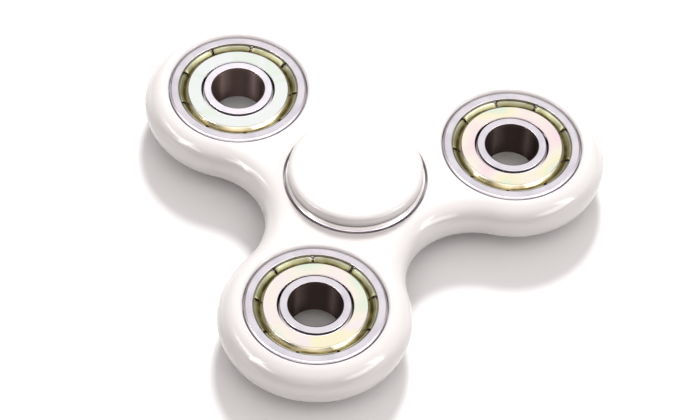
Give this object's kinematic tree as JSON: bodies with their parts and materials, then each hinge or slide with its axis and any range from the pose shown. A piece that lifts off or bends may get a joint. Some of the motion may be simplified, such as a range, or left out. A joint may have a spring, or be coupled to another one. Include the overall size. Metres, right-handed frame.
{
  "type": "fidget spinner",
  "caption": "Lobed plastic fidget spinner: its frame turns on a ball bearing held between two finger caps, and open ball bearings weight the lobes.",
  "frame": {"origin": "centre of the bottom cap's resting face, on the spin axis", "axes": "+Z along the spin axis from the bottom cap to the top cap; -Y from the spin axis towards the front lobe"},
  "size_m": [0.075, 0.069, 0.012],
  "materials": {
    "frame_plastic": "moulded, glossy",
    "cap_plastic": "moulded, glossy",
    "ring_steel": "finely ground and turned",
    "shield_zinc": "pressed sheet, bright zinc with a faint iridescence",
    "cage_steel": "pressed sheet",
    "ball_steel": "polished"
  },
  "bodies": {
    "hub": {"cap_top": "cap_plastic", "cap_bottom": "cap_plastic", "centre_inner_ring": "ring_steel"},
    "frame": {"spinner_frame": "frame_plastic", "centre_outer_ring": "ring_steel", "centre_shield_top": "shield_zinc", "centre_shield_bottom": "shield_zinc", "left_outer_ring": "ring_steel", "left_shield_top": "shield_zinc", "left_shield_bottom": "shield_zinc", "right_outer_ring": "ring_steel", "right_shield_top": "shield_zinc", "right_shield_bottom": "shield_zinc", "front_outer_ring": "ring_steel", "front_shield_top": "shield_zinc", "front_shield_bottom": "shield_zinc"},
    "centre_cage": {"centre_cage_upper": "cage_steel", "centre_cage_lower": "cage_steel", "centre_cage_rivets": "cage_steel"},
    "centre_ball_1": {"centre_ball_1": "ball_steel"},
    "centre_ball_2": {"centre_ball_2": "ball_steel"},
    "centre_ball_3": {"centre_ball_3": "ball_steel"},
    "centre_ball_4": {"centre_ball_4": "ball_steel"},
    "centre_ball_5": {"centre_ball_5": "ball_steel"},
    "centre_ball_6": {"centre_ball_6": "ball_steel"},
    "centre_ball_7": {"centre_ball_7": "ball_steel"},
    "left_inner": {"left_inner_ring": "ring_steel"},
    "left_cage": {"left_cage_upper": "cage_steel", "left_cage_lower": "cage_steel", "left_cage_rivets": "cage_steel"},
    "left_ball_1": {"left_ball_1": "ball_steel"},
    "left_ball_2": {"left_ball_2": "ball_steel"},
    "left_ball_3": {"left_ball_3": "ball_steel"},
    "left_ball_4": {"left_ball_4": "ball_steel"},
    "left_ball_5": {"left_ball_5": "ball_steel"},
    "left_ball_6": {"left_ball_6": "ball_steel"},
    "left_ball_7": {"left_ball_7": "ball_steel"},
    "right_inner": {"right_inner_ring": "ring_steel"},
    "right_cage": {"right_cage_upper": "cage_steel", "right_cage_lower": "cage_steel", "right_cage_rivets": "cage_steel"},
    "right_ball_1": {"right_ball_1": "ball_steel"},
    "right_ball_2": {"right_ball_2": "ball_steel"},
    "right_ball_3": {"right_ball_3": "ball_steel"},
    "right_ball_4": {"right_ball_4": "ball_steel"},
    "right_ball_5": {"right_ball_5": "ball_steel"},
    "right_ball_6": {"right_ball_6": "ball_steel"},
    "right_ball_7": {"right_ball_7": "ball_steel"},
    "front_inner": {"front_inner_ring": "ring_steel"},
    "front_cage": {"front_cage_upper": "cage_steel", "front_cage_lower": "cage_steel", "front_cage_rivets": "cage_steel"},
    "front_ball_1": {"front_ball_1": "ball_steel"},
    "front_ball_2": {"front_ball_2": "ball_steel"},
    "front_ball_3": {"front_ball_3": "ball_steel"},
    "front_ball_4": {"front_ball_4": "ball_steel"},
    "front_ball_5": {"front_ball_5": "ball_steel"},
    "front_ball_6": {"front_ball_6": "ball_steel"},
    "front_ball_7": {"front_ball_7": "ball_steel"}
  },
  "joints": [
    {"name": "frame_spin", "type": "hinge", "parent": "hub", "child": "frame", "pos_m": [0, 0, 0.006], "axis": [0, 0, 1], "continuous": true},
    {"name": "centre_cage_turn", "type": "hinge", "parent": "hub", "child": "centre_cage", "pos_m": [0, 0, 0.006], "axis": [0, 0, 1], "continuous": true},
    {"name": "centre_ball_1_roll", "type": "hinge", "parent": "centre_cage", "child": "centre_ball_1", "pos_m": [0.0075, 0, 0.006], "axis": [0, 0, 1], "continuous": true},
    {"name": "centre_ball_2_roll", "type": "hinge", "parent": "centre_cage", "child": "centre_ball_2", "pos_m": [0.00468, 0.00586, 0.006], "axis": [0, 0, 1], "continuous": true},
    {"name": "centre_ball_3_roll", "type": "hinge", "parent": "centre_cage", "child": "centre_ball_3", "pos_m": [-0.00167, 0.00731, 0.006], "axis": [0, 0, 1], "continuous": true},
    {"name": "centre_ball_4_roll", "type": "hinge", "parent": "centre_cage", "child": "centre_ball_4", "pos_m": [-0.00676, 0.00325, 0.006], "axis": [0, 0, 1], "continuous": true},
    {"name": "centre_ball_5_roll", "type": "hinge", "parent": "centre_cage", "child": "centre_ball_5", "pos_m": [-0.00676, -0.00325, 0.006], "axis": [0, 0, 1], "continuous": true},
    {"name": "centre_ball_6_roll", "type": "hinge", "parent": "centre_cage", "child": "centre_ball_6", "pos_m": [-0.00167, -0.00731, 0.006], "axis": [0, 0, 1], "continuous": true},
    {"name": "centre_ball_7_roll", "type": "hinge", "parent": "centre_cage", "child": "centre_ball_7", "pos_m": [0.00468, -0.00586, 0.006], "axis": [0, 0, 1], "continuous": true},
    {"name": "left_ring_spin", "type": "hinge", "parent": "frame", "child": "left_inner", "pos_m": [-0.02252, 0.013, 0.006], "axis": [0, 0, 1], "continuous": true},
    {"name": "left_cage_turn", "type": "hinge", "parent": "frame", "child": "left_cage", "pos_m": [-0.02252, 0.013, 0.006], "axis": [0, 0, 1], "continuous": true},
    {"name": "left_ball_1_roll", "type": "hinge", "parent": "left_cage", "child": "left_ball_1", "pos_m": [-0.01502, 0.013, 0.006], "axis": [0, 0, 1], "continuous": true},
    {"name": "left_ball_2_roll", "type": "hinge", "parent": "left_cage", "child": "left_ball_2", "pos_m": [-0.01784, 0.01886, 0.006], "axis": [0, 0, 1], "continuous": true},
    {"name": "left_ball_3_roll", "type": "hinge", "parent": "left_cage", "child": "left_ball_3", "pos_m": [-0.02419, 0.02031, 0.006], "axis": [0, 0, 1], "continuous": true},
    {"name": "left_ball_4_roll", "type": "hinge", "parent": "left_cage", "child": "left_ball_4", "pos_m": [-0.02927, 0.01625, 0.006], "axis": [0, 0, 1], "continuous": true},
    {"name": "left_ball_5_roll", "type": "hinge", "parent": "left_cage", "child": "left_ball_5", "pos_m": [-0.02927, 0.00975, 0.006], "axis": [0, 0, 1], "continuous": true},
    {"name": "left_ball_6_roll", "type": "hinge", "parent": "left_cage", "child": "left_ball_6", "pos_m": [-0.02419, 0.00569, 0.006], "axis": [0, 0, 1], "continuous": true},
    {"name": "left_ball_7_roll", "type": "hinge", "parent": "left_cage", "child": "left_ball_7", "pos_m": [-0.01784, 0.00714, 0.006], "axis": [0, 0, 1], "continuous": true},
    {"name": "right_ring_spin", "type": "hinge", "parent": "frame", "child": "right_inner", "pos_m": [0.02252, 0.013, 0.006], "axis": [0, 0, 1], "continuous": true},
    {"name": "right_cage_turn", "type": "hinge", "parent": "frame", "child": "right_cage", "pos_m": [0.02252, 0.013, 0.006], "axis": [0, 0, 1], "continuous": true},
    {"name": "right_ball_1_roll", "type": "hinge", "parent": "right_cage", "child": "right_ball_1", "pos_m": [0.03002, 0.013, 0.006], "axis": [0, 0, 1], "continuous": true},
    {"name": "right_ball_2_roll", "type": "hinge", "parent": "right_cage", "child": "right_ball_2", "pos_m": [0.02719, 0.01886, 0.006], "axis": [0, 0, 1], "continuous": true},
    {"name": "right_ball_3_roll", "type": "hinge", "parent": "right_cage", "child": "right_ball_3", "pos_m": [0.02085, 0.02031, 0.006], "axis": [0, 0, 1], "continuous": true},
    {"name": "right_ball_4_roll", "type": "hinge", "parent": "right_cage", "child": "right_ball_4", "pos_m": [0.01576, 0.01625, 0.006], "axis": [0, 0, 1], "continuous": true},
    {"name": "right_ball_5_roll", "type": "hinge", "parent": "right_cage", "child": "right_ball_5", "pos_m": [0.01576, 0.00975, 0.006], "axis": [0, 0, 1], "continuous": true},
    {"name": "right_ball_6_roll", "type": "hinge", "parent": "right_cage", "child": "right_ball_6", "pos_m": [0.02085, 0.00569, 0.006], "axis": [0, 0, 1], "continuous": true},
    {"name": "right_ball_7_roll", "type": "hinge", "parent": "right_cage", "child": "right_ball_7", "pos_m": [0.02719, 0.00714, 0.006], "axis": [0, 0, 1], "continuous": true},
    {"name": "front_ring_spin", "type": "hinge", "parent": "frame", "child": "front_inner", "pos_m": [0, -0.026, 0.006], "axis": [0, 0, 1], "continuous": true},
    {"name": "front_cage_turn", "type": "hinge", "parent": "frame", "child": "front_cage", "pos_m": [0, -0.026, 0.006], "axis": [0, 0, 1], "continuous": true},
    {"name": "front_ball_1_roll", "type": "hinge", "parent": "front_cage", "child": "front_ball_1", "pos_m": [0.0075, -0.026, 0.006], "axis": [0, 0, 1], "continuous": true},
    {"name": "front_ball_2_roll", "type": "hinge", "parent": "front_cage", "child": "front_ball_2", "pos_m": [0.00468, -0.02014, 0.006], "axis": [0, 0, 1], "continuous": true},
    {"name": "front_ball_3_roll", "type": "hinge", "parent": "front_cage", "child": "front_ball_3", "pos_m": [-0.00167, -0.01869, 0.006], "axis": [0, 0, 1], "continuous": true},
    {"name": "front_ball_4_roll", "type": "hinge", "parent": "front_cage", "child": "front_ball_4", "pos_m": [-0.00676, -0.02275, 0.006], "axis": [0, 0, 1], "continuous": true},
    {"name": "front_ball_5_roll", "type": "hinge", "parent": "front_cage", "child": "front_ball_5", "pos_m": [-0.00676, -0.02925, 0.006], "axis": [0, 0, 1], "continuous": true},
    {"name": "front_ball_6_roll", "type": "hinge", "parent": "front_cage", "child": "front_ball_6", "pos_m": [-0.00167, -0.03331, 0.006], "axis": [0, 0, 1], "continuous": true},
    {"name": "front_ball_7_roll", "type": "hinge", "parent": "front_cage", "child": "front_ball_7", "pos_m": [0.00468, -0.03186, 0.006], "axis": [0, 0, 1], "continuous": true}
  ],
  "couplings": [
    {"joint": "centre_cage_turn", "follows": "frame_spin", "ratio": 0.6323},
    {"joint": "centre_ball_1_roll", "follows": "frame_spin", "ratio": 1.7573},
    {"joint": "centre_ball_2_roll", "follows": "frame_spin", "ratio": 1.7573},
    {"joint": "centre_ball_3_roll", "follows": "frame_spin", "ratio": 1.7573},
    {"joint": "centre_ball_4_roll", "follows": "frame_spin", "ratio": 1.7573},
    {"joint": "centre_ball_5_roll", "follows": "frame_spin", "ratio": 1.7573},
    {"joint": "centre_ball_6_roll", "follows": "frame_spin", "ratio": 1.7573},
    {"joint": "centre_ball_7_roll", "follows": "frame_spin", "ratio": 1.7573},
    {"joint": "left_cage_turn", "follows": "left_ring_spin", "ratio": 0.3677},
    {"joint": "left_ball_1_roll", "follows": "left_ring_spin", "ratio": -1.7573},
    {"joint": "left_ball_2_roll", "follows": "left_ring_spin", "ratio": -1.7573},
    {"joint": "left_ball_3_roll", "follows": "left_ring_spin", "ratio": -1.7573},
    {"joint": "left_ball_4_roll", "follows": "left_ring_spin", "ratio": -1.7573},
    {"joint": "left_ball_5_roll", "follows": "left_ring_spin", "ratio": -1.7573},
    {"joint": "left_ball_6_roll", "follows": "left_ring_spin", "ratio": -1.7573},
    {"joint": "left_ball_7_roll", "follows": "left_ring_spin", "ratio": -1.7573},
    {"joint": "right_cage_turn", "follows": "right_ring_spin", "ratio": 0.3677},
    {"joint": "right_ball_1_roll", "follows": "right_ring_spin", "ratio": -1.7573},
    {"joint": "right_ball_2_roll", "follows": "right_ring_spin", "ratio": -1.7573},
    {"joint": "right_ball_3_roll", "follows": "right_ring_spin", "ratio": -1.7573},
    {"joint": "right_ball_4_roll", "follows": "right_ring_spin", "ratio": -1.7573},
    {"joint": "right_ball_5_roll", "follows": "right_ring_spin", "ratio": -1.7573},
    {"joint": "right_ball_6_roll", "follows": "right_ring_spin", "ratio": -1.7573},
    {"joint": "right_ball_7_roll", "follows": "right_ring_spin", "ratio": -1.7573},
    {"joint": "front_cage_turn", "follows": "front_ring_spin", "ratio": 0.3677},
    {"joint": "front_ball_1_roll", "follows": "front_ring_spin", "ratio": -1.7573},
    {"joint": "front_ball_2_roll", "follows": "front_ring_spin", "ratio": -1.7573},
    {"joint": "front_ball_3_roll", "follows": "front_ring_spin", "ratio": -1.7573},
    {"joint": "front_ball_4_roll", "follows": "front_ring_spin", "ratio": -1.7573},
    {"joint": "front_ball_5_roll", "follows": "front_ring_spin", "ratio": -1.7573},
    {"joint": "front_ball_6_roll", "follows": "front_ring_spin", "ratio": -1.7573},
    {"joint": "front_ball_7_roll", "follows": "front_ring_spin", "ratio": -1.7573}
  ]
}
